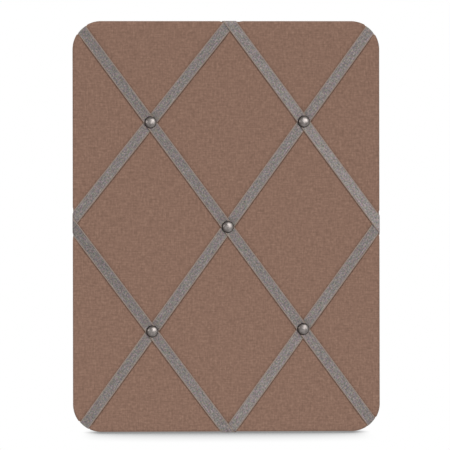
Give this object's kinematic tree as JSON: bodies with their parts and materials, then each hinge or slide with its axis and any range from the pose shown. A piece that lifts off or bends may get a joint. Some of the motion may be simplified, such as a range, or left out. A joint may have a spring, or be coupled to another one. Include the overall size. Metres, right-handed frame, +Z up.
{
  "type": "ribbon memo board",
  "caption": "Padded cork board wrapped in woven cloth, crossed by a diamond lattice of ribbons with a domed nail at each crossing, that holds photos and notes and hangs on a wall.",
  "frame": {"origin": "middle of the sawtooth hanger, on the face that lies against the wall", "axes": "+Z up along the tall side, +Y out of the back towards the wall, +X to the right as seen from the front"},
  "size_m": [0.2816, 0.0237, 0.3769],
  "materials": {
    "linen": "matte",
    "ribbon": "satin",
    "wadding": "matte",
    "cork": "matte",
    "fibreboard": "matte",
    "hardboard": "satin",
    "pewter": "satin",
    "zinc": "satin",
    "rubber": "matte"
  },
  "bodies": {
    "root": {"fabric_cover": "linen", "padding": "wadding", "cork_sheet": "cork", "core_board": "fibreboard", "back_panel": "hardboard", "ribbon_falling_long": "ribbon", "ribbon_falling_upper": "ribbon", "ribbon_falling_lower": "ribbon", "ribbon_rising_long": "ribbon", "ribbon_rising_upper": "ribbon", "ribbon_rising_lower": "ribbon", "nail_centre": "pewter", "nail_top_left": "pewter", "nail_top_right": "pewter", "nail_bottom_left": "pewter", "nail_bottom_right": "pewter", "ribbon_staple_1": "zinc", "ribbon_staple_2": "zinc", "ribbon_staple_3": "zinc", "ribbon_staple_4": "zinc", "ribbon_staple_5": "zinc", "ribbon_staple_6": "zinc", "ribbon_staple_7": "zinc", "ribbon_staple_8": "zinc", "ribbon_staple_9": "zinc", "ribbon_staple_10": "zinc", "ribbon_staple_11": "zinc", "ribbon_staple_12": "zinc", "hem_staple_1": "zinc", "hem_staple_2": "zinc", "hem_staple_3": "zinc", "hem_staple_4": "zinc", "hem_staple_5": "zinc", "hem_staple_6": "zinc", "hem_staple_7": "zinc", "hem_staple_8": "zinc", "hem_staple_9": "zinc", "hem_staple_10": "zinc", "hem_staple_11": "zinc", "hem_staple_12": "zinc", "hem_staple_13": "zinc", "hem_staple_14": "zinc", "hem_staple_15": "zinc", "hem_staple_16": "zinc", "panel_brad_1": "zinc", "panel_brad_2": "zinc", "panel_brad_3": "zinc", "panel_brad_4": "zinc", "panel_brad_5": "zinc", "panel_brad_6": "zinc", "panel_brad_7": "zinc", "panel_brad_8": "zinc", "hanger": "zinc", "hanger_brad_left": "zinc", "hanger_brad_right": "zinc", "bumper_left": "rubber", "bumper_right": "rubber"}
  },
  "joints": []
}
